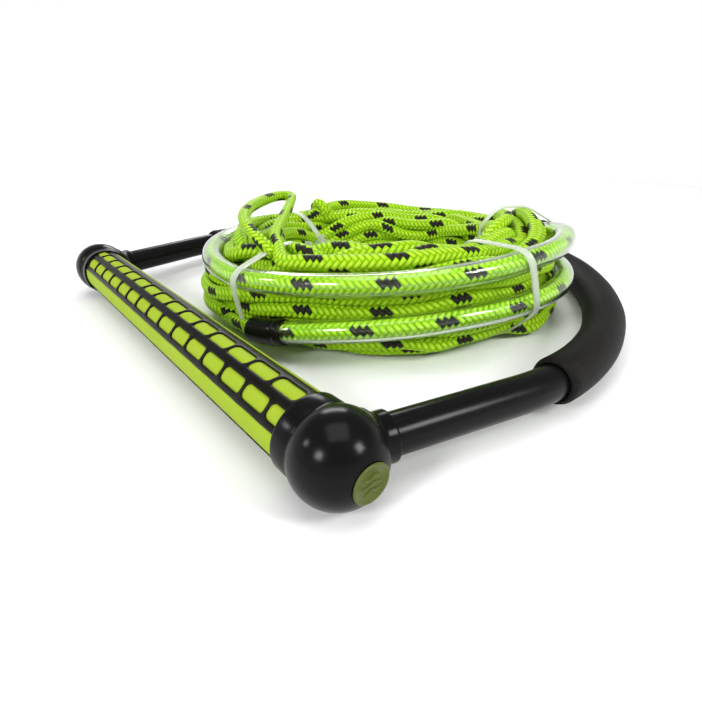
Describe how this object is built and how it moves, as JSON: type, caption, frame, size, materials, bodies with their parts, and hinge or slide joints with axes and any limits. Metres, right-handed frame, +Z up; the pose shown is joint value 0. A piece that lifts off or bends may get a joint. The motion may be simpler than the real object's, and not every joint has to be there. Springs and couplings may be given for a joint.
{
  "type": "tow rope handle",
  "caption": "Floating tow handle: straight grip bar between two ball hubs, closed by a rounded hose loop with a foam float, with its tow rope coiled and tied inside the loop.",
  "frame": {"origin": "centre of the handle's own box at the ground it lies on", "axes": "+Y along the grip bar, +X from the grip bar towards the bend of the hose loop, +Z up from the ground"},
  "size_m": [0.3367, 0.359, 0.0725],
  "materials": {
    "tube": "satin",
    "foam_lime": "matt closed-cell foam",
    "panel": "semi-matt moulded rubber",
    "hub": "gloss moulded",
    "badge": "satin",
    "hose": "gloss extruded",
    "foam_black": "matt closed-cell foam",
    "rope": "hollow braid with dark tracers",
    "tubing": "clear flexible tubing",
    "ferrule": "gloss heat-shrunk",
    "nylon": "natural nylon"
  },
  "bodies": {
    "handle": {"grip_tube": "tube", "grip_sleeve": "foam_lime", "grip_panel_top": "panel", "grip_panel_bottom": "panel", "hub_left": "hub", "hub_right": "hub", "hub_badge_left": "badge", "hub_badge_right": "badge", "bridle_hose": "hose", "float_sleeve": "foam_black"},
    "rope_set": {"rope_coil": "rope", "rope_eye": "rope", "rope_knot": "rope", "rope_in_tubing": "rope", "clear_tubing": "tubing", "tubing_ferrule_front": "ferrule", "tubing_ferrule_back": "ferrule", "cable_tie_1": "nylon", "cable_tie_2": "nylon", "cable_tie_3": "nylon", "cable_tie_4": "nylon"}
  },
  "joints": [
    {"name": "rope_lift", "type": "slide", "parent": "handle", "child": "rope_set", "axis": [0, 0, 1], "range_m": [0, 0.1]}
  ]
}
